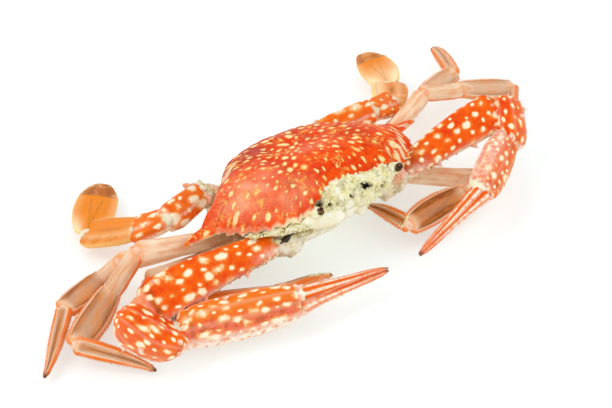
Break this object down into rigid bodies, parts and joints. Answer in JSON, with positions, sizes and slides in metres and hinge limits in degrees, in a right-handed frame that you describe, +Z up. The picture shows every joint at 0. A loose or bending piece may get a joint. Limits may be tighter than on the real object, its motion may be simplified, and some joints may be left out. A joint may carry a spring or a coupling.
{
  "type": "cooked crab",
  "caption": "Whole boiled swimming crab lying on its underside: domed spotted shell with long side spines, folded claws, slim walking legs and paddle-ended back legs.",
  "frame": {"origin": "centre of the bounding box at the height of the surface that the crab rests on", "axes": "+X towards the crab's left side, -Y towards its front, +Z up"},
  "size_m": [0.2862, 0.1454, 0.043],
  "materials": {
    "shell": "orange-red crab shell with cream spots, softly glossy",
    "claw_shell": "orange-red claw shell with cream spots and ridges, softly glossy",
    "leg_shell": "pinkish beige and brown leg shell with orange edges, satin",
    "paddle": "thin amber paddle shell, satin",
    "belly": "cream white underside shell, satin",
    "curd": "crumbly cream-yellow cooked curd, matt",
    "eye": "dull dark brown eye, glossy"
  },
  "bodies": {
    "root": {"belly": "belly", "claw_L_carpus": "claw_shell", "claw_L_coxa": "claw_shell", "claw_L_finger": "claw_shell", "claw_L_merus": "claw_shell", "claw_L_palm": "claw_shell", "claw_R_carpus": "claw_shell", "claw_R_coxa": "claw_shell", "claw_R_finger": "claw_shell", "claw_R_merus": "claw_shell", "claw_R_palm": "claw_shell", "eye_L": "eye", "eye_R": "eye", "face_curd": "curd", "leg2_L_carpus": "leg_shell", "leg2_L_coxa": "leg_shell", "leg2_L_dactyl": "leg_shell", "leg2_L_merus": "leg_shell", "leg2_L_propodus": "leg_shell", "leg2_R_carpus": "leg_shell", "leg2_R_coxa": "leg_shell", "leg2_R_dactyl": "leg_shell", "leg2_R_merus": "leg_shell", "leg2_R_propodus": "leg_shell", "leg3_L_carpus": "leg_shell", "leg3_L_coxa": "leg_shell", "leg3_L_dactyl": "leg_shell", "leg3_L_merus": "leg_shell", "leg3_L_propodus": "leg_shell", "leg3_R_carpus": "leg_shell", "leg3_R_coxa": "leg_shell", "leg3_R_dactyl": "leg_shell", "leg3_R_merus": "leg_shell", "leg3_R_propodus": "leg_shell", "leg4_L_carpus": "leg_shell", "leg4_L_coxa": "leg_shell", "leg4_L_dactyl": "leg_shell", "leg4_L_merus": "leg_shell", "leg4_L_propodus": "leg_shell", "leg4_R_carpus": "leg_shell", "leg4_R_coxa": "leg_shell", "leg4_R_dactyl": "leg_shell", "leg4_R_merus": "leg_shell", "leg4_R_propodus": "leg_shell", "leg5_L_carpus": "leg_shell", "leg5_L_coxa": "leg_shell", "leg5_L_merus": "leg_shell", "leg5_L_paddle": "paddle", "leg5_L_propodus": "leg_shell", "leg5_R_carpus": "leg_shell", "leg5_R_coxa": "leg_shell", "leg5_R_merus": "leg_shell", "leg5_R_paddle": "paddle", "leg5_R_propodus": "leg_shell", "mouth_plate_L": "belly", "mouth_plate_R": "belly", "shell": "shell"}
  },
  "joints": []
}
